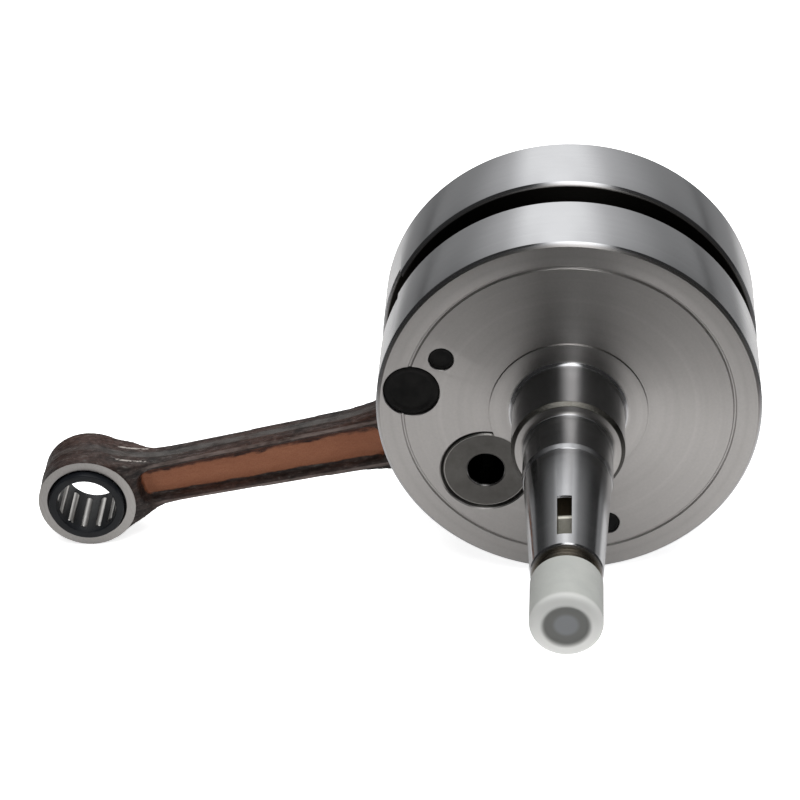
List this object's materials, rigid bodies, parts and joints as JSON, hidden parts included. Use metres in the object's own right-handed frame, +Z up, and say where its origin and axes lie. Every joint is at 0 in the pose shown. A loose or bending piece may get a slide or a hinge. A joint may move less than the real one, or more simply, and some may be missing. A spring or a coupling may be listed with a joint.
{
  "type": "crankshaft",
  "caption": "Built-up single-cylinder two-stroke crankshaft with full-circle webs, pressed crank pin, connecting rod on needle bearings, tapered ignition end and splined drive end.",
  "frame": {"origin": "where the crankshaft's main axis crosses the cylinder's centre plane, midway between the two webs", "axes": "+Y along the main axis from the ignition (taper) side to the drive (spline) side, +Z up with the webs standing on their rims, -X towards the rod's small end"},
  "size_m": [0.1889, 0.2047, 0.096],
  "materials": {
    "ground_steel": "turned and ground",
    "pin_steel": "hardened, dark ground end",
    "forged_oxide": "forged, dark oxide, copper-plated channels",
    "roller_steel": "ground",
    "black_cage": "black oxide",
    "bronze": "satin",
    "plug_black": "smooth moulded",
    "white_cap": "translucent soft vinyl"
  },
  "bodies": {
    "crankshaft": {"ignition_side_crank_half": "ground_steel", "drive_side_crank_half": "ground_steel", "crank_pin": "pin_steel", "balance_plug_large_ignition_1": "plug_black", "balance_plug_large_ignition_2": "plug_black", "balance_plug_small_ignition_1": "plug_black", "balance_plug_small_ignition_2": "plug_black", "balance_plug_large_drive_1": "plug_black", "balance_plug_large_drive_2": "plug_black", "balance_plug_small_drive_1": "plug_black", "balance_plug_small_drive_2": "plug_black"},
    "connecting_rod": {"connecting_rod": "forged_oxide"},
    "big_end_bearing": {"big_end_cage": "bronze", "big_end_roller_01": "roller_steel", "big_end_roller_02": "roller_steel", "big_end_roller_03": "roller_steel", "big_end_roller_04": "roller_steel", "big_end_roller_05": "roller_steel", "big_end_roller_06": "roller_steel", "big_end_roller_07": "roller_steel", "big_end_roller_08": "roller_steel", "big_end_roller_09": "roller_steel", "big_end_roller_10": "roller_steel", "big_end_roller_11": "roller_steel", "big_end_roller_12": "roller_steel", "big_end_roller_13": "roller_steel", "big_end_roller_14": "roller_steel"},
    "small_end_bearing": {"small_end_cage": "black_cage", "small_end_roller_01": "roller_steel", "small_end_roller_02": "roller_steel", "small_end_roller_03": "roller_steel", "small_end_roller_04": "roller_steel", "small_end_roller_05": "roller_steel", "small_end_roller_06": "roller_steel", "small_end_roller_07": "roller_steel", "small_end_roller_08": "roller_steel", "small_end_roller_09": "roller_steel", "small_end_roller_10": "roller_steel", "small_end_roller_11": "roller_steel", "small_end_roller_12": "roller_steel", "small_end_roller_13": "roller_steel"},
    "thrust_washer_ignition": {"thrust_washer_ignition": "bronze"},
    "thrust_washer_drive": {"thrust_washer_drive": "bronze"},
    "thread_cap": {"thread_cap": "white_cap"}
  },
  "joints": [
    {"name": "rod_swing", "type": "hinge", "parent": "crankshaft", "child": "connecting_rod", "pos_m": [-0.02158, 0, -0.01665], "axis": [0, 1, 0], "continuous": true},
    {"name": "big_end_bearing_turn", "type": "hinge", "parent": "crankshaft", "child": "big_end_bearing", "pos_m": [-0.02158, 0, -0.01665], "axis": [0, 1, 0], "continuous": true},
    {"name": "small_end_bearing_turn", "type": "hinge", "parent": "connecting_rod", "child": "small_end_bearing", "pos_m": [-0.128, 0, -0.03505], "axis": [0, 1, 0], "continuous": true},
    {"name": "thrust_washer_ignition_turn", "type": "hinge", "parent": "crankshaft", "child": "thrust_washer_ignition", "pos_m": [-0.02158, 0, -0.01665], "axis": [0, 1, 0], "continuous": true},
    {"name": "thrust_washer_drive_turn", "type": "hinge", "parent": "crankshaft", "child": "thrust_washer_drive", "pos_m": [-0.02158, 0, -0.01665], "axis": [0, 1, 0], "continuous": true},
    {"name": "thread_cap_pull", "type": "slide", "parent": "crankshaft", "child": "thread_cap", "axis": [0, -1, 0], "range_m": [0, 0.02]}
  ],
  "couplings": [
    {"joint": "big_end_bearing_turn", "follows": "rod_swing", "ratio": 0.56}
  ]
}
